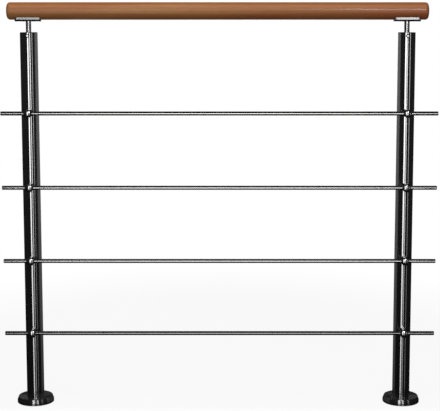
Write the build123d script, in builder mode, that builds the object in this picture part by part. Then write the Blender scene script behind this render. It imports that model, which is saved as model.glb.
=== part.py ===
"""Stair railing: one straight bay of round steel posts, crossbars and a wooden handrail.

Millimetres, +Z up, +X along the railing to the right, +Y away from the side with the crossbars.
The origin is the centre of the left foot's underside.
"""

import os

from build123d import *

os.makedirs("parts", exist_ok=True)

# Posts
post_dia = 42.4
post_wall = 2.0
post_spacing = 910.0
post_top = 915.0

# Round feet: a plate under a tapered cover
foot_dia = 90.0
plate_thick = 5.0
plate_edge = 0.6
bolt_circle_dia = 66.0
bolt_hole_dia = 9.0
bolt_count = 4
bolt_first_angle = 45.0
cover_height = 9.5
cover_wall = 1.5
cover_bevel_in = 3.1
cover_bevel_down = 8.4
cover_play = 0.3

# Post caps and their screws
cap_thick = 2.5
cap_edge = 0.5
plug_depth = 22.0
screw_drop = 8.0
screw_shank_dia = 5.0
screw_reach = 8.0
screw_head_dia = 9.5
screw_head_height = 2.6
screw_head_flat_dia = 4.2
socket_width = 3.4
socket_depth = 1.8

# Handrail on its stems and saddle plates
rail_dia = 42.0
rail_overhang = 51.0
rail_end_round = 8.0
stem_dia = 13.0
stem_gap = 26.0
saddle_thick = 4.0
saddle_length = 64.0
saddle_width = 29.0
saddle_corner = 6.0
saddle_screw_offset = 21.0
saddle_screw_dia = 4.5
saddle_screw_head_dia = 8.6
countersink_angle = 90.0

# Crossbars and their holders
bar_dia = 10.0
bar_lowest = 182.0
bar_spacing = 180.0
bar_count = 4
bar_overhang_left = 66.0
bar_overhang_right = 74.0
bar_end_edge = 0.8
holder_dia = 20.0
holder_standoff = 13.0
holder_nose = 11.5
holder_chamfer = 1.6
holder_dome = 2.0
grub_screw_dia = 5.0

# Sizes that follow from those above
post_r = post_dia / 2
bore_r = post_r - post_wall
foot_r = foot_dia / 2
foot_top = plate_thick + cover_height
cap_under = post_top - cap_thick
plug_under = cap_under - plug_depth
screw_height = post_top - screw_drop
screw_head_face = post_r + screw_head_height
rail_r = rail_dia / 2
saddle_outer_r = rail_r + saddle_thick
rail_axis = post_top + stem_gap + saddle_outer_r
rail_length = post_spacing + 2 * rail_overhang
bar_front = post_r + holder_standoff
bar_length = post_spacing + bar_overhang_left + bar_overhang_right
holder_r = holder_dia / 2
holder_face = bar_front + holder_nose
bar_heights = [bar_lowest + number * bar_spacing for number in range(bar_count)]
post_places = {"left": 0.0, "right": post_spacing}

# Feet, posts, caps, stems and saddles, once for each post
for side, post_x in post_places.items():
    # Base plate with its ring of bolt holes
    with BuildPart() as base_plate:
        with BuildSketch(Plane.XY):
            with Locations((post_x, 0)):
                Circle(foot_r)
        extrude(amount=plate_thick)
        chamfer(base_plate.faces().sort_by(Axis.Z)[-1].edges(), length=plate_edge)
        with Locations((post_x, 0, plate_thick)):
            with PolarLocations(bolt_circle_dia / 2, bolt_count, start_angle=bolt_first_angle):
                Hole(bolt_hole_dia / 2)
    base_plate.part.label = f"{side}_base_plate"
    export_step(base_plate.part, f"parts/{side}_base_plate.step")

    # Hollow cover that rests on the plate's rim and clears the post
    with BuildPart() as base_cover:
        with BuildSketch(Plane.XZ.move(Location((post_x, 0, 0)))):
            with BuildLine():
                Polyline(
                    (foot_r - plate_edge, plate_thick),
                    (foot_r, plate_thick + plate_edge),
                    (foot_r, foot_top - cover_bevel_down),
                    (foot_r - cover_bevel_in, foot_top),
                    (post_r + cover_play, foot_top),
                    (post_r + cover_play, foot_top - cover_wall),
                    (foot_r - cover_bevel_in - cover_wall, foot_top - cover_wall),
                    (foot_r - plate_edge - cover_wall, plate_thick),
                    close=True,
                )
            make_face()
        revolve(axis=Axis((post_x, 0, 0), (0, 0, 1)))
    base_cover.part.label = f"{side}_base_cover"
    export_step(base_cover.part, f"parts/{side}_base_cover.step")

    # Post tube with the hole for its cap screw
    with BuildPart() as post:
        with BuildSketch(Plane.XY.offset(plate_thick)):
            with Locations((post_x, 0)):
                Circle(post_r)
                Circle(bore_r, mode=Mode.SUBTRACT)
        extrude(amount=cap_under - plate_thick)
        with BuildSketch(Plane.XZ):
            with Locations((post_x, screw_height)):
                Circle(screw_shank_dia / 2)
        extrude(amount=post_dia, mode=Mode.SUBTRACT)
    post.part.label = f"{side}_post"
    export_step(post.part, f"parts/{side}_post.step")

    # Flush cap with a plug inside the tube, bored for the stem and the screw
    with BuildPart() as post_cap:
        with BuildSketch(Plane.XY.offset(cap_under)):
            with Locations((post_x, 0)):
                Circle(post_r)
        extrude(amount=cap_thick)
        chamfer(post_cap.faces().sort_by(Axis.Z)[-1].edges(), length=cap_edge)
        with BuildSketch(Plane.XY.offset(plug_under)):
            with Locations((post_x, 0)):
                Circle(bore_r)
        extrude(amount=plug_depth)
        with Locations((post_x, 0, post_top)):
            Hole(stem_dia / 2)
        with BuildSketch(Plane.XZ.offset(post_r - screw_reach)):
            with Locations((post_x, screw_height)):
                Circle(screw_shank_dia / 2)
        extrude(amount=screw_reach, mode=Mode.SUBTRACT)
    post_cap.part.label = f"{side}_post_cap"
    export_step(post_cap.part, f"parts/{side}_post_cap.step")

    # Button-head screw seated on the tube, with a hexagon socket
    with BuildPart() as post_screw:
        with BuildSketch(Plane.XY.offset(screw_height)):
            with BuildLine():
                Polyline(
                    (post_x + screw_head_flat_dia / 2, -screw_head_face),
                    (post_x, -screw_head_face),
                    (post_x, 0),
                    (post_x + screw_head_dia / 2, 0),
                    (post_x + screw_head_dia / 2, -post_r),
                )
                TangentArc(
                    (post_x + screw_head_flat_dia / 2, -screw_head_face),
                    (post_x + screw_head_dia / 2, -post_r),
                    tangent=(1, 0),
                )
            make_face()
        revolve(axis=Axis((post_x, 0, screw_height), (0, 1, 0)))
        with BuildSketch(Plane.XY.offset(screw_height - screw_head_dia)):
            with Locations((post_x, 0)):
                Circle(post_r)
        extrude(amount=2 * screw_head_dia, mode=Mode.SUBTRACT)
        with BuildSketch(Plane.XZ.offset(post_r - screw_reach)):
            with Locations((post_x, screw_height)):
                Circle(screw_shank_dia / 2)
        extrude(amount=screw_reach)
        with BuildSketch(Plane.XZ.offset(screw_head_face - socket_depth)):
            with Locations((post_x, screw_height)):
                RegularPolygon(socket_width / 2, 6, major_radius=False)
        extrude(amount=socket_depth, mode=Mode.SUBTRACT)
    post_screw.part.label = f"{side}_post_screw"
    export_step(post_screw.part, f"parts/{side}_post_screw.step")

    # Stem from the bottom of the plug up to the hollow of the saddle plate
    with BuildPart() as stem:
        with BuildSketch(Plane.XY.offset(plug_under)):
            with Locations((post_x, 0)):
                Circle(stem_dia / 2)
        extrude(amount=rail_axis - plug_under)
        with BuildSketch(Plane.YZ.offset(post_x - stem_dia)):
            with Locations((0, rail_axis)):
                Circle(saddle_outer_r)
        extrude(amount=2 * stem_dia, mode=Mode.SUBTRACT)
    stem.part.label = f"{side}_stem"
    export_step(stem.part, f"parts/{side}_stem.step")

    # Saddle plate curved round the underside of the handrail, with upright sides and two countersunk holes
    with BuildPart() as saddle:
        with BuildSketch(Plane.YZ.offset(post_x - saddle_length / 2)):
            with Locations((0, rail_axis)):
                Circle(saddle_outer_r)
                Circle(rail_r, mode=Mode.SUBTRACT)
                Rectangle(
                    saddle_width,
                    saddle_outer_r,
                    align=(Align.CENTER, Align.MAX),
                    mode=Mode.INTERSECT,
                )
        extrude(amount=saddle_length)
        fillet(saddle.edges().filter_by(Axis.Z), radius=saddle_corner)
        saddle_underside = Plane((post_x, 0, rail_axis - saddle_outer_r), x_dir=(1, 0, 0), z_dir=(0, 0, -1))
        with Locations(saddle_underside):
            with GridLocations(2 * saddle_screw_offset, 0, 2, 1):
                CounterSinkHole(
                    radius=saddle_screw_dia / 2,
                    counter_sink_radius=saddle_screw_head_dia / 2,
                    counter_sink_angle=countersink_angle,
                )
    saddle.part.label = f"{side}_saddle"
    export_step(saddle.part, f"parts/{side}_saddle.step")

# Wooden handrail with rounded ends
with BuildPart() as handrail:
    with BuildSketch(Plane.YZ.offset(-rail_overhang)):
        with Locations((0, rail_axis)):
            Circle(rail_r)
    extrude(amount=rail_length)
    fillet(handrail.edges().filter_by(GeomType.CIRCLE), radius=rail_end_round)
handrail.part.label = "handrail"
export_step(handrail.part, "parts/handrail.step")

# Crossbars, numbered from the lowest
for number, bar_height in enumerate(bar_heights, start=1):
    with BuildPart() as crossbar:
        with BuildSketch(Plane.YZ.offset(-bar_overhang_left)):
            with Locations((-bar_front, bar_height)):
                Circle(bar_dia / 2)
        extrude(amount=bar_length)
        chamfer(crossbar.edges().filter_by(GeomType.CIRCLE), length=bar_end_edge)
    crossbar.part.label = f"crossbar_{number}"
    export_step(crossbar.part, f"parts/crossbar_{number}.step")

# Bar holders: domed round studs, hollowed to sit on the post, bored for the bar and its grub screw
for side, post_x in post_places.items():
    for number, bar_height in enumerate(bar_heights, start=1):
        with BuildPart() as bar_holder:
            with BuildSketch(Plane.XY.offset(bar_height)):
                with BuildLine():
                    Polyline(
                        (post_x, -holder_face - holder_dome),
                        (post_x, 0),
                        (post_x + holder_r, 0),
                        (post_x + holder_r, holder_chamfer - holder_face),
                        (post_x + holder_r - holder_chamfer, -holder_face),
                    )
                    TangentArc(
                        (post_x, -holder_face - holder_dome),
                        (post_x + holder_r - holder_chamfer, -holder_face),
                        tangent=(1, 0),
                    )
                make_face()
            revolve(axis=Axis((post_x, 0, bar_height), (0, 1, 0)))
            with BuildSketch(Plane.XY.offset(bar_height - holder_r)):
                with Locations((post_x, 0)):
                    Circle(post_r)
            extrude(amount=holder_dia, mode=Mode.SUBTRACT)
            with BuildSketch(Plane.YZ.offset(post_x - holder_r)):
                with Locations((-bar_front, bar_height)):
                    Circle(bar_dia / 2)
            extrude(amount=holder_dia, mode=Mode.SUBTRACT)
            with BuildSketch(Plane.XY.offset(bar_height - holder_r)):
                with Locations((post_x, -bar_front)):
                    Circle(grub_screw_dia / 2)
            extrude(amount=holder_r, mode=Mode.SUBTRACT)
        bar_holder.part.label = f"{side}_bar_holder_{number}"
        export_step(bar_holder.part, f"parts/{side}_bar_holder_{number}.step")
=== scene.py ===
"""Stair railing, dressed: ground dark steel posts, feet and crossbars under a varnished wooden handrail."""

import logging
import math
from collections.abc import Callable, Sequence
from dataclasses import dataclass
from enum import Enum

import bmesh
import bpy
from mathutils import Matrix, Vector


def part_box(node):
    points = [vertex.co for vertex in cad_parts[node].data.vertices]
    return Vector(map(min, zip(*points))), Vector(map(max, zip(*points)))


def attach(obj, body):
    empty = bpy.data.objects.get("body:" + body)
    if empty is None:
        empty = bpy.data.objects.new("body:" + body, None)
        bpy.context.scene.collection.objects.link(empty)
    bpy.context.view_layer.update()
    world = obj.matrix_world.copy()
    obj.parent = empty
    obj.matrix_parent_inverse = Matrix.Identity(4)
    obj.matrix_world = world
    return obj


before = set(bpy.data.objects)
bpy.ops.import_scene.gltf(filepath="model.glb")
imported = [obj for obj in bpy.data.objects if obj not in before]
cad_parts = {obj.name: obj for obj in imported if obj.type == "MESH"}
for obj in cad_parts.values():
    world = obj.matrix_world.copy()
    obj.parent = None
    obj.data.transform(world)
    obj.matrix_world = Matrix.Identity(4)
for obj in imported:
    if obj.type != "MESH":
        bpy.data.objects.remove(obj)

Colour = tuple[float, float, float, float]
Point = tuple[float, float, float]
Range = tuple[float, float]
Size = tuple[float, float]
Socket = bpy.types.NodeSocket
Node = bpy.types.Node
Material = bpy.types.Material
Piece = bpy.types.Object

# The railing's pieces
BODY = "root"
SIDES = ("left", "right")
BAR_NUMBERS = (1, 2, 3, 4)
CROSSBARS = tuple(f"crossbar_{number}" for number in BAR_NUMBERS)
FEET = tuple(f"{side}_{piece}" for side in SIDES for piece in ("base_plate", "base_cover"))
HANDRAIL = "handrail"
RIGHT_SADDLE = "right_saddle"

# Values that several classes share
LOG = logging.getLogger("stair_railing")
MM = 0.001
UNIT = 1.0
MIDDLE_X = 0.455
NO_SHIFT = (0.0, 0.0, 0.0)
FULL_RANGE = (0.0, 1.0)
RIM_SEGMENTS = 3
QUARTER_TURN = math.radians(90.0)
SMOOTH_ANGLE = math.radians(35.0)

# The least share of a face's normal along an axis for the face to look along it
FACING = 0.9


class GrindAxis(Enum):
    """The axis that a steel piece was ground or turned about."""

    ALONG = "X"
    ACROSS = "Y"
    UPRIGHT = "Z"


class Slot(Enum):
    """The record's material slots, which the added pieces don't use."""

    SCREW = "screw_steel"


class LinkState(Enum):
    """Whether a light falls on a group of nodes alone, or on all but them."""

    INCLUDE = "INCLUDE"
    EXCLUDE = "EXCLUDE"


class Output(Enum):
    """The kind of node that takes a finished shader."""

    MATERIAL = "OutputMaterial"
    WORLD = "OutputWorld"


def grey(level: float) -> Colour:
    """Gives an opaque grey of this level."""
    return (level, level, level, 1.0)


class Nodes:
    """The node tree of a material or world, with short ways to add and join nodes."""

    def __init__(self, owner: Material | bpy.types.World) -> None:
        """Starts an empty tree.

        Args:
            owner: the material or world.
        """
        owner.use_nodes = True
        self.owner = owner
        self.tree = owner.node_tree
        self.tree.nodes.clear()

    def add(self, kind: str, **settings: object) -> Node:
        """Adds a node.

        Args:
            kind: the node's type name, without its ShaderNode prefix.
            settings: attributes to set on it.

        Returns:
            The new node.
        """
        node = self.tree.nodes.new("ShaderNode" + kind)
        for key, value in settings.items():
            setattr(node, key, value)
        return node

    def join(self, start: Socket, end: Socket) -> None:
        """Links one socket to another."""
        self.tree.links.new(start, end)

    def place(self, scale: Point, shift: Point = NO_SHIFT) -> Socket:
        """Gives Object coordinates, scaled and shifted.

        Args:
            scale: how many times a pattern repeats per metre along each axis.
            shift: how far the scaled pattern is shifted along each axis.

        Returns:
            The mapped coordinates.
        """
        mapping = self.add("Mapping")
        mapping.inputs["Scale"].default_value = scale
        mapping.inputs["Location"].default_value = shift
        self.join(self.add("TexCoord").outputs["Object"], mapping.inputs["Vector"])
        return mapping.outputs["Vector"]

    def axis(self, name: str, coordinates: str = "Object") -> Socket:
        """Gives one part of a set of coordinates.

        Args:
            name: the axis, X, Y or Z.
            coordinates: which of the Texture Coordinate node's outputs is read.

        Returns:
            The value along that axis.
        """
        split = self.add("SeparateXYZ")
        self.join(self.add("TexCoord").outputs[coordinates], split.inputs[0])
        return split.outputs[name]

    def noise(self, place: Socket, detail: float, roughness: float = 0.5) -> Socket:
        """Gives a noise value on these coordinates.

        Args:
            place: the coordinates, already scaled.
            detail: octaves of finer noise.
            roughness: how strong the finer octaves are.

        Returns:
            The noise, from 0 to 1.
        """
        node = self.add("TexNoise")
        node.inputs["Scale"].default_value = UNIT
        node.inputs["Detail"].default_value = detail
        node.inputs["Roughness"].default_value = roughness
        self.join(place, node.inputs["Vector"])
        return node.outputs["Fac"]

    def span(self, value: Socket, given: Range, wanted: Range = FULL_RANGE) -> Socket:
        """Maps a value from one range to another, and clamps it.

        Args:
            value: the value.
            given: the value's own range.
            wanted: the results at the two ends of that range.

        Returns:
            The mapped value.
        """
        node = self.add("MapRange")
        for socket, number in zip(("From Min", "From Max", "To Min", "To Max"), given + wanted):
            node.inputs[socket].default_value = number
        self.join(value, node.inputs["Value"])
        return node.outputs["Result"]

    def math(self, operation: str, first: Socket, second: Socket | float = 0.0) -> Socket:
        """Combines a value with another value or a number.

        Args:
            operation: the Math node's operation.
            first: the first value.
            second: the second value, or a number.

        Returns:
            The result.
        """
        node = self.add("Math", operation=operation)
        self.join(first, node.inputs[0])
        if isinstance(second, float):
            node.inputs[1].default_value = second
        else:
            self.join(second, node.inputs[1])
        return node.outputs[0]

    def blend(self, factor: Socket, first: Socket | Colour, second: Socket | Colour) -> Socket:
        """Mixes two colours.

        Args:
            factor: how much of the second shows.
            first: the first colour, or a socket that gives it.
            second: the second colour, or a socket that gives it.

        Returns:
            The mixed colour.
        """
        node = self.add("MixRGB")
        self.join(factor, node.inputs["Fac"])
        for socket, colour in ((node.inputs["Color1"], first), (node.inputs["Color2"], second)):
            if isinstance(colour, tuple):
                socket.default_value = colour
            else:
                self.join(colour, socket)
        return node.outputs["Color"]

    def bump(self, height: Socket, strength: float, distance: float) -> Socket:
        """Gives a normal bumped by a height.

        Args:
            height: the height, from 0 to 1.
            strength: the share of the bump that shows.
            distance: the height of the bump, in metres.

        Returns:
            The bumped normal.
        """
        node = self.add("Bump")
        node.inputs["Strength"].default_value = strength
        node.inputs["Distance"].default_value = distance
        self.join(height, node.inputs["Height"])
        return node.outputs["Normal"]

    def seen(self) -> Socket:
        """Gives 1 for what the camera sees, also in gloss or through glass, and 0 for other light.

        Returns:
            The 1 or 0.
        """
        path = self.add("LightPath")
        seen = path.outputs["Is Camera Ray"]
        for kind in ("Is Glossy Ray", "Is Transmission Ray"):
            seen = self.math("MAXIMUM", seen, path.outputs[kind])
        return seen

    def mix(self, factor: Socket, first: Node, second: Node) -> Node:
        """Mixes two shaders.

        Args:
            factor: how much of the second shows.
            first: the first shader.
            second: the second shader.

        Returns:
            The mixing node.
        """
        node = self.add("MixShader")
        for start, end in zip((factor, first.outputs[0], second.outputs[0]), node.inputs):
            self.join(start, end)
        return node

    def surface(self, shader: Node, output: Output = Output.MATERIAL) -> Material | bpy.types.World:
        """Sends a shader to the tree's output.

        Args:
            shader: the shader node.
            output: the kind of output.

        Returns:
            The finished material or world.
        """
        end = self.add(output.value)
        self.join(shader.outputs[0], end.inputs["Surface"])
        return self.owner


@dataclass(frozen=True)
class SteelFinish:
    """Dark stainless steel, ground round its axis, with fine lines and faint smudges."""

    name: str
    axis: GrindAxis
    roughness: Range = (0.11, 0.14)
    stretch: float = 1.0
    colour: Colour = grey(0.38)
    worn_colour: Colour = grey(0.50)
    stretch_turn: float = 0.25
    line_scale: float = 1800.0
    around_scale: float = 9.0
    line_detail: float = 4.0
    line_roughness: float = 0.65
    line_tones: Range = (0.3, 0.7)
    line_share: float = 0.25
    line_height: float = 0.02 * MM
    line_strength: float = 0.06
    smudge_scale: float = 14.0
    smudge_detail: float = 4.0
    smudge_roughness: float = 0.6
    polish_tones: Range = (0.35, 0.65)

    def lines_scale(self) -> Point:
        """Gives the grind lines' repeats per metre: fine along the axis and drawn out round it.

        Returns:
            The repeats along each axis.
        """
        scale = {axis: self.around_scale for axis in "XYZ"}
        scale[self.axis.value] = self.line_scale
        return tuple(scale.values())

    def material(self) -> Material:
        """Builds the finish.

        Returns:
            The material.
        """
        nodes = Nodes(bpy.data.materials.new(self.name))
        lines = nodes.noise(nodes.place(self.lines_scale()), self.line_detail, self.line_roughness)
        smudge_place = nodes.place((self.smudge_scale,) * 3)
        smudges = nodes.noise(smudge_place, self.smudge_detail, self.smudge_roughness)
        shader = nodes.add("BsdfPrincipled")
        shader.inputs["Metallic"].default_value = 1.0
        shader.inputs["Anisotropic"].default_value = self.stretch
        shader.inputs["Anisotropic Rotation"].default_value = self.stretch_turn
        tangent = nodes.add("Tangent", direction_type="RADIAL", axis=self.axis.value)
        nodes.join(tangent.outputs["Tangent"], shader.inputs["Tangent"])
        tone = nodes.span(lines, self.line_tones)
        nodes.join(nodes.blend(tone, self.colour, self.worn_colour), shader.inputs["Base Color"])
        fine = nodes.math("MULTIPLY", lines, self.line_share)
        broad = nodes.math("MULTIPLY", smudges, 1.0 - self.line_share)
        polish = nodes.math("ADD", fine, broad)
        nodes.join(nodes.span(polish, self.polish_tones, self.roughness), shader.inputs["Roughness"])
        nodes.join(nodes.bump(lines, self.line_strength, self.line_height), shader.inputs["Normal"])
        return nodes.surface(shader)


@dataclass(frozen=True)
class WoodFinish:
    """Red-brown hardwood under a satin varnish, with long grain, pores and darker end grain."""

    name: str = "varnished_hardwood"
    tan: Colour = (0.425, 0.192, 0.058, 1.0)
    red: Colour = (0.33, 0.084, 0.024, 1.0)
    ring_dark: Colour = (0.24, 0.082, 0.024, 1.0)
    pore: Colour = (0.10, 0.036, 0.012, 1.0)
    end_grain: Colour = (0.13, 0.050, 0.018, 1.0)
    hue_x: Range = (-0.1, 0.85)
    hue_share: Range = (0.1, 0.9)
    drift_scale: Point = (2.2, 30.0, 30.0)
    drift_detail: float = 2.0
    drift_tones: Range = (0.35, 0.65)
    drift_share: Range = (-0.3, 0.3)
    ring_scale: float = 36.0
    ring_distortion: float = 3.0
    ring_detail: float = 3.0
    ring_detail_scale: float = 1.4
    ring_draw: Point = (0.03, 1.0, 1.0)
    pith: Point = (0.0, 0.045, 0.035)
    ring_show: float = 0.42
    ring_height: float = 0.2
    pore_scale: Point = (40.0, 1500.0, 1500.0)
    pore_detail: float = 2.0
    pore_tones: Range = (0.60, 0.72)
    pore_show: float = 0.5
    pore_height: float = 0.12 * MM
    bump_strength: float = 0.35
    end_facing: Range = (0.35, 0.85)
    end_share: Range = (0.0, 0.75)
    polish_tones: Range = (0.3, 0.7)
    roughness: Range = (0.38, 0.50)
    shine: float = 0.2
    varnish: float = 0.2
    varnish_roughness: float = 0.14

    def material(self) -> Material:
        """Builds the finish.

        Returns:
            The material.
        """
        nodes = Nodes(bpy.data.materials.new(self.name))
        drift = nodes.noise(nodes.place(self.drift_scale), self.drift_detail)
        along = nodes.span(nodes.axis("X"), self.hue_x, self.hue_share)
        hue = nodes.math("ADD", along, nodes.span(drift, self.drift_tones, self.drift_share))
        rings = self.rings(nodes)
        ring_share = nodes.math("MULTIPLY", rings, self.ring_show)
        ringed = nodes.blend(ring_share, nodes.blend(hue, self.tan, self.red), self.ring_dark)
        pores = nodes.span(nodes.noise(nodes.place(self.pore_scale), self.pore_detail), self.pore_tones)
        pored = nodes.blend(nodes.math("MULTIPLY", pores, self.pore_show), ringed, self.pore)
        shader = nodes.add("BsdfPrincipled")
        nodes.join(nodes.blend(self.ends(nodes), pored, self.end_grain), shader.inputs["Base Color"])
        nodes.join(nodes.span(drift, self.polish_tones, self.roughness), shader.inputs["Roughness"])
        shader.inputs["Specular IOR Level"].default_value = self.shine
        shader.inputs["Coat Weight"].default_value = self.varnish
        shader.inputs["Coat Roughness"].default_value = self.varnish_roughness
        height = nodes.math("SUBTRACT", nodes.math("MULTIPLY", rings, self.ring_height), pores)
        nodes.join(nodes.bump(height, self.bump_strength, self.pore_height), shader.inputs["Normal"])
        return nodes.surface(shader)

    def ends(self, nodes: Nodes) -> Socket:
        """Gives where the end grain shows, on faces that point along the rail.

        Args:
            nodes: the material's nodes.

        Returns:
            The share of end grain.
        """
        facing = nodes.math("ABSOLUTE", nodes.axis("X", "Normal"))
        return nodes.span(facing, self.end_facing, self.end_share)

    def rings(self, nodes: Nodes) -> Socket:
        """Gives the growth rings, as curved layers drawn out along the rail.

        Args:
            nodes: the material's nodes.

        Returns:
            The ring lines, from 0 to 1.
        """
        wave = nodes.add("TexWave", wave_type="RINGS", rings_direction="X", wave_profile="SAW")
        wave.inputs["Scale"].default_value = self.ring_scale
        wave.inputs["Distortion"].default_value = self.ring_distortion
        wave.inputs["Detail"].default_value = self.ring_detail
        wave.inputs["Detail Scale"].default_value = self.ring_detail_scale
        nodes.join(nodes.place(self.ring_draw, self.pith), wave.inputs["Vector"])
        return wave.outputs["Fac"]


@dataclass(frozen=True)
class FloorFinish:
    """A plain pale floor that fades to the white of the background and keeps a soft shadow."""

    name: str = "pale_floor"
    colour: Colour = grey(0.75)
    white_share: float = 0.90
    centre: Point = (MIDDLE_X, 0.45, 0.0)
    far_fade: Range = (0.7, 1.2)
    front_fade: Range = (-0.10, -0.05)

    def material(self) -> Material:
        """Builds the finish.

        Returns:
            The material.
        """
        nodes = Nodes(bpy.data.materials.new(self.name))
        nodes.owner.cycles.emission_sampling = "NONE"
        distance = nodes.add("VectorMath", operation="DISTANCE")
        nodes.join(nodes.add("TexCoord").outputs["Object"], distance.inputs[0])
        distance.inputs[1].default_value = self.centre
        far = nodes.span(distance.outputs["Value"], self.far_fade, (self.white_share, 1.0))
        front = nodes.span(nodes.axis("Y"), self.front_fade, (1.0, self.white_share))
        white = nodes.math("MULTIPLY", nodes.seen(), nodes.math("MAXIMUM", far, front))
        diffuse = nodes.add("BsdfDiffuse")
        diffuse.inputs["Color"].default_value = self.colour
        return nodes.surface(nodes.mix(white, diffuse, nodes.add("Emission")))


@dataclass(frozen=True)
class CardFinish:
    """A studio card or dark flag that glows evenly across and fades towards its bottom."""

    name: str
    level: float
    bottom_share: float = 1.0
    fade: Range = FULL_RANGE
    as_lamp: bool = True

    def material(self) -> Material:
        """Builds the finish.

        Returns:
            The material.
        """
        nodes = Nodes(bpy.data.materials.new(self.name))
        if not self.as_lamp:
            nodes.owner.cycles.emission_sampling = "NONE"
        glow = nodes.add("Emission")
        glow.inputs["Strength"].default_value = self.level
        nodes.join(nodes.span(nodes.axis("Z"), self.fade, (self.bottom_share, 1.0)), glow.inputs["Color"])
        return nodes.surface(glow)


def dress(node_names: Sequence[str], material: Material) -> None:
    """Gives nodes of the frame a material.

    Args:
        node_names: the nodes.
        material: what they are made of.
    """
    for name in node_names:
        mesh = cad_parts[name].data
        mesh.materials.clear()
        mesh.materials.append(material)
        LOG.info("dressed %s with %s", name, material.name)


def node_centre(name: str) -> Vector:
    """Gives the middle of a node's box."""
    low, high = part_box(name)
    return (low + high) / 2


def link_light(light: Piece, node_names: Sequence[str], state: LinkState) -> None:
    """Ties a light to some nodes alone, or keeps it off them.

    Args:
        light: the lamp or card.
        node_names: the nodes.
        state: which of the two.
    """
    group = bpy.data.collections.new(f"{light.name}_receivers")
    for name in node_names:
        group.objects.link(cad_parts[name])
    for member in group.collection_objects:
        member.light_linking.link_state = state.value
    light.light_linking.receiver_collection = group


def select_only(piece: Piece) -> None:
    """Selects one object and makes it the active one.

    Args:
        piece: the object.
    """
    bpy.ops.object.select_all(action="DESELECT")
    piece.select_set(True)
    bpy.context.view_layer.objects.active = piece


def pick_faces(piece: Piece, wanted: Callable[[bmesh.types.BMFace], bool]) -> None:
    """Selects, in edit mode, the faces that a test accepts.

    Args:
        piece: the object in edit mode.
        wanted: the test.
    """
    bpy.ops.mesh.select_mode(type="FACE")
    bpy.ops.mesh.select_all(action="DESELECT")
    mesh = bmesh.from_edit_mesh(piece.data)
    for face in mesh.faces:
        face.select_set(wanted(face))
    bmesh.update_edit_mesh(piece.data)


def cut(piece: Piece, cutter: Piece) -> None:
    """Cuts one object's shape out of another and deletes the cutter.

    Args:
        piece: what is cut.
        cutter: the shape to take away.
    """
    select_only(piece)
    boolean = piece.modifiers.new("cut", "BOOLEAN")
    boolean.operation = "DIFFERENCE"
    boolean.object = cutter
    bpy.ops.object.modifier_apply(modifier=boolean.name)
    bpy.data.meshes.remove(cutter.data)


def round_ends(piece: Piece, width: float, up: bool, down: bool) -> None:
    """Bevels the rims of a turned piece's flat ends.

    Args:
        piece: the piece, in object mode.
        width: the bevel's width.
        up: whether the upper end is bevelled.
        down: whether the lower end is bevelled.
    """
    select_only(piece)
    bpy.ops.object.mode_set(mode="EDIT")
    pick_faces(piece, lambda face: (up and face.normal.z > FACING) or (down and face.normal.z < -FACING))
    bpy.ops.mesh.region_to_loop()
    bpy.ops.mesh.bevel(offset=width, segments=RIM_SEGMENTS, affect="EDGES")
    bpy.ops.object.mode_set(mode="OBJECT")


def apply_place(piece: Piece) -> None:
    """Puts an object's place, turn and scale into its mesh.

    Args:
        piece: the object.
    """
    select_only(piece)
    bpy.ops.object.transform_apply(location=True, rotation=True, scale=True)


def set_in_place(piece: Piece, name: str, material: Material) -> None:
    """Finishes a modelled piece: smooths it, puts its place in its mesh and ties it to the railing.

    Args:
        piece: the piece.
        name: its name.
        material: what it is made of.
    """
    apply_place(piece)
    bpy.ops.object.shade_smooth_by_angle(angle=SMOOTH_ANGLE)
    piece.name = name
    piece.data.name = name
    piece.data.materials.clear()
    piece.data.materials.append(material)
    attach(piece, BODY)
    LOG.info("modelled %s", name)


def copy_of(piece: Piece, shift: Vector) -> Piece:
    """Copies a piece with a mesh of its own, moved within that mesh.

    Args:
        piece: what is copied, before it is tied to the railing.
        shift: how far the copy is moved.

    Returns:
        The copy.
    """
    twin = piece.copy()
    twin.data = piece.data.copy()
    bpy.context.collection.objects.link(twin)
    twin.data.transform(Matrix.Translation(shift))
    return twin


def set_screws(places: dict[str, Vector], model: Callable[[Vector], Piece], material: Material) -> None:
    """Models a screw at the first of some places and copies it to the others.

    Args:
        places: the places by screw name.
        model: what models a screw at a place.
        material: what the screws are made of.
    """
    first_name, first_place = next(iter(places.items()))
    screw = model(first_place)
    for name, place in places.items():
        if name != first_name:
            set_in_place(copy_of(screw, place - first_place), name, material)
    set_in_place(screw, first_name, material)


@dataclass
class Posts:
    """Two upright tubes with their caps and cap screws."""

    steel: SteelFinish = SteelFinish("post_steel", GrindAxis.UPRIGHT)
    screw: SteelFinish = SteelFinish("screw_steel", GrindAxis.ACROSS, roughness=(0.14, 0.20), stretch=0.3)

    def build(self) -> None:
        """Dresses the posts, caps and screws."""
        dress([f"{side}_{piece}" for side in SIDES for piece in ("post", "post_cap")], self.steel.material())
        dress([f"{side}_post_screw" for side in SIDES], self.screw.material())


@dataclass
class Feet:
    """Two round feet, each a plate under a tapered cover."""

    steel: SteelFinish = SteelFinish(
        "foot_steel", GrindAxis.UPRIGHT, roughness=(0.24, 0.28), colour=grey(0.32), worn_colour=grey(0.40)
    )

    def build(self) -> None:
        """Dresses the plates and covers."""
        dress(FEET, self.steel.material())


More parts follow.
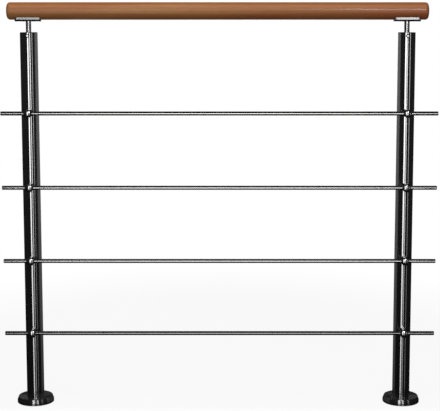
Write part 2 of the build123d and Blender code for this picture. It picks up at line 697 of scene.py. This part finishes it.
@dataclass
class Handrail:
    """The wooden rail on its saddle plates and stems."""

    wood: WoodFinish = WoodFinish()
    stem: SteelFinish = SteelFinish(
        "stem_steel",
        GrindAxis.UPRIGHT,
        roughness=(0.18, 0.22),
        stretch=0.95,
        colour=grey(0.48),
        worn_colour=grey(0.58),
    )
    saddle: SteelFinish = SteelFinish(
        "saddle_steel",
        GrindAxis.ALONG,
        roughness=(0.24, 0.30),
        stretch=0.9,
        colour=grey(0.28),
        worn_colour=grey(0.36),
    )

    def build(self) -> None:
        """Dresses the rail, stems and saddles."""
        dress([HANDRAIL], self.wood.material())
        dress([f"{side}_stem" for side in SIDES], self.stem.material())
        dress([f"{side}_saddle" for side in SIDES], self.saddle.material())


@dataclass
class Crossbars:
    """Four level bars in their round holders."""

    bar: SteelFinish = SteelFinish(
        "bar_steel", GrindAxis.ALONG, roughness=(0.12, 0.14), colour=grey(0.47), worn_colour=grey(0.55)
    )
    holder: SteelFinish = SteelFinish("holder_steel", GrindAxis.ACROSS, roughness=(0.12, 0.17), stretch=0.0)

    def build(self) -> None:
        """Dresses the bars and holders."""
        dress(CROSSBARS, self.bar.material())
        holders = [f"{side}_bar_holder_{number}" for side in SIDES for number in BAR_NUMBERS]
        dress(holders, self.holder.material())


@dataclass
class SaddleScrews:
    """Countersunk cross-head screws that hold the saddle plates to the handrail from below."""

    steel: SteelFinish = SteelFinish(
        "saddle_screw_steel", GrindAxis.UPRIGHT, roughness=(0.18, 0.24), stretch=0.4
    )
    from_stem: float = 21.0 * MM
    head_radius: float = 3.85 * MM
    head_sink: float = 0.3 * MM
    shank_radius: float = 2.1 * MM
    shank_length: float = 1.8 * MM
    rim_round: float = 0.15 * MM
    slot_length: float = 4.4 * MM
    slot_width: float = 0.9 * MM
    slot_depth: float = 1.3 * MM
    slot_taper: float = 0.6
    sides: int = 48

    def build(self) -> None:
        """Models one screw and copies it to each hole of both saddles."""
        set_screws(self.places(), self.model, self.steel.material())

    def places(self) -> dict[str, Vector]:
        """Gives the middle of each screw's head face.

        Returns:
            The places by screw name.
        """
        found = {}
        for side in SIDES:
            middle = node_centre(f"{side}_saddle")
            face_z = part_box(f"{side}_saddle")[0].z + self.head_sink
            for number, direction in enumerate((-1.0, 1.0), start=1):
                screw_x = middle.x + direction * self.from_stem
                found[f"{side}_saddle_screw_{number}"] = Vector((screw_x, middle.y, face_z))
        return found

    def model(self, place: Vector) -> Piece:
        """Models a screw that faces down.

        Args:
            place: the middle of its head's face.

        Returns:
            The screw.
        """
        cone = self.head_radius - self.shank_radius
        bpy.ops.object.select_all(action="DESELECT")
        bpy.ops.mesh.primitive_cone_add(
            vertices=self.sides,
            radius1=self.head_radius,
            radius2=self.shank_radius,
            depth=cone,
            location=place + Vector((0.0, 0.0, cone / 2)),
        )
        screw = bpy.context.object
        bpy.ops.object.mode_set(mode="EDIT")
        pick_faces(screw, lambda face: face.normal.z > FACING)
        bpy.ops.mesh.extrude_region_move(TRANSFORM_OT_translate={"value": (0.0, 0.0, self.shank_length)})
        bpy.ops.object.mode_set(mode="OBJECT")
        round_ends(screw, self.rim_round, up=False, down=True)
        for turn in (0.0, QUARTER_TURN):
            cut(screw, self.slot_cutter(place, turn))
        apply_place(screw)
        return screw

    def slot_cutter(self, place: Vector, turn: float) -> Piece:
        """Models one arm of the cross, narrower at its bottom.

        Args:
            place: the middle of the head's face.
            turn: the arm's turn about the screw, in radians.

        Returns:
            The cutter.
        """
        bpy.ops.object.select_all(action="DESELECT")
        bpy.ops.mesh.primitive_cube_add(size=UNIT, location=place, rotation=(0.0, 0.0, turn))
        cutter = bpy.context.object
        cutter.scale = (self.slot_length, self.slot_width, 2 * self.slot_depth)
        bpy.ops.object.mode_set(mode="EDIT")
        pick_faces(cutter, lambda face: face.normal.z > FACING)
        bpy.ops.transform.resize(value=(self.slot_taper, self.slot_taper, 1.0))
        bpy.ops.object.mode_set(mode="OBJECT")
        return cutter


@dataclass
class GrubScrews:
    """Hexagon-socket grub screws that clamp the crossbars in their holders from below."""

    steel: SteelFinish = SteelFinish(
        "grub_screw_steel", GrindAxis.UPRIGHT, roughness=(0.20, 0.26), stretch=0.4
    )
    radius: float = 2.4 * MM
    length: float = 4.0 * MM
    rim_round: float = 0.35 * MM
    socket_radius: float = 1.45 * MM
    socket_depth: float = 1.8 * MM
    sides: int = 40
    socket_sides: int = 6

    def build(self) -> None:
        """Models one grub screw and copies it to each holder."""
        set_screws(self.places(), self.model, self.steel.material())

    def places(self) -> dict[str, Vector]:
        """Gives the top of each screw, under its crossbar.

        Returns:
            The places by screw name.
        """
        found = {}
        for side in SIDES:
            for number in BAR_NUMBERS:
                bar_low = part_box(f"crossbar_{number}")[0].z
                bar_y = node_centre(f"crossbar_{number}").y
                holder_x = node_centre(f"{side}_bar_holder_{number}").x
                found[f"{side}_grub_screw_{number}"] = Vector((holder_x, bar_y, bar_low))
        return found

    def model(self, place: Vector) -> Piece:
        """Models a screw with its socket facing down.

        Args:
            place: the middle of its upper end.

        Returns:
            The screw.
        """
        bpy.ops.object.select_all(action="DESELECT")
        bpy.ops.mesh.primitive_cylinder_add(
            vertices=self.sides,
            radius=self.radius,
            depth=self.length,
            location=place - Vector((0.0, 0.0, self.length / 2)),
        )
        screw = bpy.context.object
        round_ends(screw, self.rim_round, up=True, down=True)
        bpy.ops.object.select_all(action="DESELECT")
        bpy.ops.mesh.primitive_cylinder_add(
            vertices=self.socket_sides,
            radius=self.socket_radius,
            depth=2 * self.socket_depth,
            location=place - Vector((0.0, 0.0, self.length)),
        )
        cut(screw, bpy.context.object)
        apply_place(screw)
        return screw


@dataclass(frozen=True)
class Card:
    """An upright card round the railing, seen only in reflections."""

    name: str
    azimuth: float
    width: float
    level: float
    distance: float = 6.0
    bottom: float = -2.2
    top: float = 3.6
    bottom_share: float = 0.16
    fade: Range = (-0.8, 1.2)
    hidden_from: tuple[str, ...] = CROSSBARS

    def finish(self) -> CardFinish:
        """Gives the card's finish."""
        return CardFinish(self.name, self.level, self.bottom_share, self.fade)


@dataclass(frozen=True)
class HungCard:
    """A card hung above and in front of the rail and square to it, seen only in reflections."""

    name: str
    x: float
    elevation: float
    distance: float
    size: Size
    level: float
    linked_nodes: tuple[str, ...]
    link_state: LinkState


@dataclass
class Studio:
    """The floor, the soft lights, the cards and dark flags, the surround and the camera."""

    floor_size: Size = (3.0, 2.4)
    floor_front: float = -0.10
    flag_level: float = 0.022
    flag_bottom_share: float = 0.3
    flag_fade: Range = (-3.0, 0.0)
    flag_size: Point = (18.0, 18.0, 9.0)
    flag_centre_z: float = 1.0
    floor_flag_level: float = 0.008
    floor_flag_height: float = 0.6 * MM
    cards: tuple[Card, ...] = (
        Card(
            "left_window",
            azimuth=-10.8,
            width=1.05,
            level=3.4,
            distance=4.9,
            bottom=-1.9,
            top=3.1,
            bottom_share=0.36,
            fade=(-1.5, 0.6),
        ),
        Card("middle_fill", azimuth=2.5, width=1.50, level=0.38, distance=5.2),
        Card("right_window", azimuth=14.5, width=0.44, level=3.2, distance=3.7, bottom=-1.7, top=2.6),
        Card("far_right_window", azimuth=46.0, width=0.62, level=1.9, top=1.5),
        Card(
            "back_window",
            azimuth=176.0,
            width=1.3,
            level=2.8,
            distance=5.0,
            bottom=-1.9,
            top=1.4,
            bottom_share=0.36,
            hidden_from=CROSSBARS + FEET,
        ),
        Card(
            "back_left_window",
            azimuth=-150.0,
            width=0.45,
            level=0.35,
            distance=2.4,
            bottom=0.1,
            top=1.6,
            hidden_from=(),
        ),
        Card(
            "back_right_window",
            azimuth=150.0,
            width=0.45,
            level=0.35,
            distance=2.4,
            bottom=0.1,
            top=1.6,
            hidden_from=(),
        ),
    )
    inner_card_gap: float = 0.10
    inner_card_depth: float = 0.30
    inner_card_top: float = 0.93
    inner_card_level: float = 0.24
    inner_card_share: float = 0.3
    rail_height: float = 0.966
    sheen_card: HungCard = HungCard(
        "sheen_card",
        x=1.5,
        elevation=21.0,
        distance=4.6,
        size=(0.7, 0.5),
        level=52.0,
        linked_nodes=CROSSBARS + FEET,
        link_state=LinkState.EXCLUDE,
    )
    rail_card: HungCard = HungCard(
        "rail_card",
        x=MIDDLE_X,
        elevation=68.0,
        distance=3.0,
        size=(3.0, 2.6),
        level=2.2,
        linked_nodes=(HANDRAIL,),
        link_state=LinkState.INCLUDE,
    )
    overhead_size: Size = (2.6, 0.7)
    overhead_height: float = 2.4
    overhead_level: float = 0.125
    bar_light_distance: float = 3.3
    bar_light_height: float = 0.4
    bar_light_size: Size = (2.1, 1.35)
    bar_light_powers: tuple[float, ...] = (15.0, 32.0, 37.0, 34.0)
    saddle_light_place: Point = (1.33, -3.0, 0.92)
    saddle_light_size: Size = (1.2, 0.8)
    saddle_light_power: float = 7.0
    key_place: Point = (0.25, -1.45, 2.65)
    key_target: Point = (MIDDLE_X, 0.0, 0.95)
    key_size: Size = (2.6, 1.2)
    key_power: float = 42.0
    ambient_above: float = 0.34
    ambient_below: float = 0.28
    ambient_fade: Range = (-0.3, 0.6)
    camera_place: Point = (0.48958, -3.0, 0.98)
    camera_pitch: float = math.radians(6.985)
    camera_lens: float = 101.5
    camera_shift: tuple[float, float] = (-0.0275, -0.11)
    sensor_width: float = 36.0

    def build(self) -> None:
        """Builds the whole studio."""
        self.build_floor()
        self.build_flags()
        for card in self.cards:
            self.build_card(card)
        self.build_inner_cards()
        # A line of sheen along the right of the rail, then a soft sheen on its upper half
        for hung_card in (self.sheen_card, self.rail_card):
            self.build_hung_card(hung_card)
        self.build_overhead_card()
        self.build_bar_lights()
        self.build_saddle_light()
        self.build_key()
        self.build_surround()
        self.build_camera()

    def add_plane(self, name: str, size: Size, place: Point, turn: Point = NO_SHIFT) -> Piece:
        """Adds a flat piece of the studio, with its place in its mesh.

        Args:
            name: its name.
            size: its width and height.
            place: its centre.
            turn: its turn about each axis, in radians.

        Returns:
            The staged object.
        """
        bpy.ops.object.select_all(action="DESELECT")
        bpy.ops.mesh.primitive_plane_add(size=UNIT, location=place, rotation=turn)
        plane = bpy.context.object
        plane.name = name
        plane.scale = (size[0], size[1], 1.0)
        apply_place(plane)
        LOG.info("set up %s", name)
        return plane

    def show_in_gloss_only(self, piece: Piece, finish: CardFinish) -> None:
        """Gives a card its finish and hides it from all but reflections.

        Args:
            piece: the card.
            finish: what it is made of.
        """
        piece.data.materials.append(finish.material())
        piece.visible_camera = False
        piece.visible_diffuse = False
        piece.visible_transmission = False
        piece.visible_volume_scatter = False
        piece.visible_shadow = False

    def floor_centre(self, height: float) -> Point:
        """Gives the middle of the floor, at a height."""
        return (MIDDLE_X, self.floor_front + self.floor_size[1] / 2, height)

    def build_floor(self) -> None:
        """Lays the pale floor under the railing."""
        floor = self.add_plane("floor", self.floor_size, self.floor_centre(0.0))
        floor.data.materials.append(FloorFinish().material())

    def build_flags(self) -> None:
        """Hangs dark flags all round and lays one on the floor, so that polished steel stays dark."""
        bpy.ops.object.select_all(action="DESELECT")
        bpy.ops.mesh.primitive_cube_add(size=UNIT, location=(MIDDLE_X, 0.0, self.flag_centre_z))
        room = bpy.context.object
        room.name = "dark_flags"
        room.scale = self.flag_size
        apply_place(room)
        LOG.info("set up %s", room.name)
        walls = CardFinish(
            "dark_flags", self.flag_level, self.flag_bottom_share, self.flag_fade, as_lamp=False
        )
        self.show_in_gloss_only(room, walls)
        floor_flag = self.add_plane("floor_flag", self.floor_size, self.floor_centre(self.floor_flag_height))
        self.show_in_gloss_only(floor_flag, CardFinish("floor_flag", self.floor_flag_level, as_lamp=False))

    def build_card(self, card: Card) -> None:
        """Stands an upright card at its angle round the railing.

        Args:
            card: the card's sizes and place.
        """
        angle = math.radians(card.azimuth)
        place = (
            MIDDLE_X + card.distance * math.sin(angle),
            -card.distance * math.cos(angle),
            (card.bottom + card.top) / 2,
        )
        turn = (QUARTER_TURN, 0.0, angle)
        plane = self.add_plane(card.name, (card.width, card.top - card.bottom), place, turn)
        self.show_in_gloss_only(plane, card.finish())
        if card.hidden_from:
            link_light(plane, card.hidden_from, LinkState.EXCLUDE)

    def build_inner_cards(self) -> None:
        """Stands a pale card just inside each post, which greys the posts' inner edges."""
        fade = (0.0, self.inner_card_top)
        finish = CardFinish("inner_card", self.inner_card_level, self.inner_card_share, fade)
        size = (self.inner_card_depth, self.inner_card_top)
        turn = (QUARTER_TURN, 0.0, QUARTER_TURN)
        for side, direction in zip(SIDES, (1.0, -1.0)):
            card_x = node_centre(f"{side}_post").x + direction * self.inner_card_gap
            place = (card_x, self.inner_card_depth / 2, self.inner_card_top / 2)
            card = self.add_plane(f"{side}_inner_card", size, place, turn)
            self.show_in_gloss_only(card, finish)

    def build_hung_card(self, card: HungCard) -> None:
        """Hangs a card above and in front of the rail, for the nodes that it is linked to.

        Args:
            card: the card's size, place and links.
        """
        rise = math.radians(card.elevation)
        place = (
            card.x,
            -card.distance * math.cos(rise),
            self.rail_height + card.distance * math.sin(rise),
        )
        plane = self.add_plane(card.name, card.size, place, (QUARTER_TURN - rise, 0.0, 0.0))
        self.show_in_gloss_only(plane, CardFinish(card.name, card.level))
        link_light(plane, card.linked_nodes, card.link_state)

    def build_overhead_card(self) -> None:
        """Hangs a pale card over the rail, which lights the upper edges of the saddles and bars."""
        card = self.add_plane("overhead_card", self.overhead_size, (MIDDLE_X, 0.0, self.overhead_height))
        self.show_in_gloss_only(card, CardFinish("overhead_card", self.overhead_level))

    def add_lamp(self, name: str, place: Point, target: Point, size: Size, power: float) -> Piece:
        """Adds a soft rectangular lamp that the camera doesn't see.

        Args:
            name: its name.
            place: its centre.
            target: the point that it faces.
            size: its width and height.
            power: its power, in watts.

        Returns:
            The lamp.
        """
        bpy.ops.object.select_all(action="DESELECT")
        bpy.ops.object.light_add(type="AREA", location=place)
        lamp = bpy.context.object
        lamp.name = name
        lamp.data.shape = "RECTANGLE"
        lamp.data.size, lamp.data.size_y = size
        lamp.data.energy = power
        aim = Vector(target) - Vector(place)
        lamp.rotation_euler = aim.to_track_quat("-Z", "Y").to_euler()
        lamp.visible_camera = False
        LOG.info("set up %s", name)
        return lamp

    def build_bar_lights(self) -> None:
        """Stands a broad soft light in front for each crossbar alone, weakest for the lowest."""
        place = (MIDDLE_X, -self.bar_light_distance, self.bar_light_height)
        target = (MIDDLE_X, 0.0, self.bar_light_height)
        for bar, power in zip(CROSSBARS, self.bar_light_powers):
            lamp = self.add_lamp(f"{bar}_light", place, target, self.bar_light_size, power)
            link_light(lamp, (bar,), LinkState.INCLUDE)

    def build_saddle_light(self) -> None:
        """Stands a soft light in front of the right saddle, which it alone reflects."""
        target = tuple(node_centre(RIGHT_SADDLE))
        place, size = self.saddle_light_place, self.saddle_light_size
        lamp = self.add_lamp("saddle_light", place, target, size, self.saddle_light_power)
        link_light(lamp, (RIGHT_SADDLE,), LinkState.INCLUDE)

    def build_key(self) -> None:
        """Sets the soft key light above and in front, which lights the wood and the floor."""
        lamp = self.add_lamp("key", self.key_place, self.key_target, self.key_size, self.key_power)
        lamp.visible_glossy = False

    def build_surround(self) -> None:
        """Makes the surround white where it is seen, and a soft light from above for the rest."""
        world = bpy.data.worlds.new("surround")
        bpy.context.scene.world = world
        nodes = Nodes(world)
        light = nodes.add("Background")
        light.inputs["Color"].default_value = grey(1.0)
        levels = (self.ambient_below, self.ambient_above)
        ambient = nodes.span(nodes.axis("Z", "Generated"), self.ambient_fade, levels)
        nodes.join(ambient, light.inputs["Strength"])
        white = nodes.add("Background")
        white.inputs["Color"].default_value = grey(1.0)
        nodes.surface(nodes.mix(nodes.seen(), light, white), Output.WORLD)

    def build_camera(self) -> None:
        """Stands the camera at the photograph's viewing angle."""
        bpy.ops.object.select_all(action="DESELECT")
        bpy.ops.object.camera_add(location=self.camera_place)
        camera = bpy.context.object
        camera.rotation_euler = (QUARTER_TURN - self.camera_pitch, 0.0, 0.0)
        camera.data.sensor_width = self.sensor_width
        camera.data.lens = self.camera_lens
        camera.data.shift_x, camera.data.shift_y = self.camera_shift
        bpy.context.scene.camera = camera
        bpy.context.scene.view_settings.view_transform = "Standard"


def main() -> None:
    """Builds the dressed railing and its studio."""
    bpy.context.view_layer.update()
    for group in (Posts(), Feet(), Handrail(), Crossbars(), SaddleScrews(), GrubScrews(), Studio()):
        LOG.info("building %s", type(group).__name__)
        group.build()


if __name__ == "__main__":
    logging.basicConfig(level=logging.INFO)
    main()
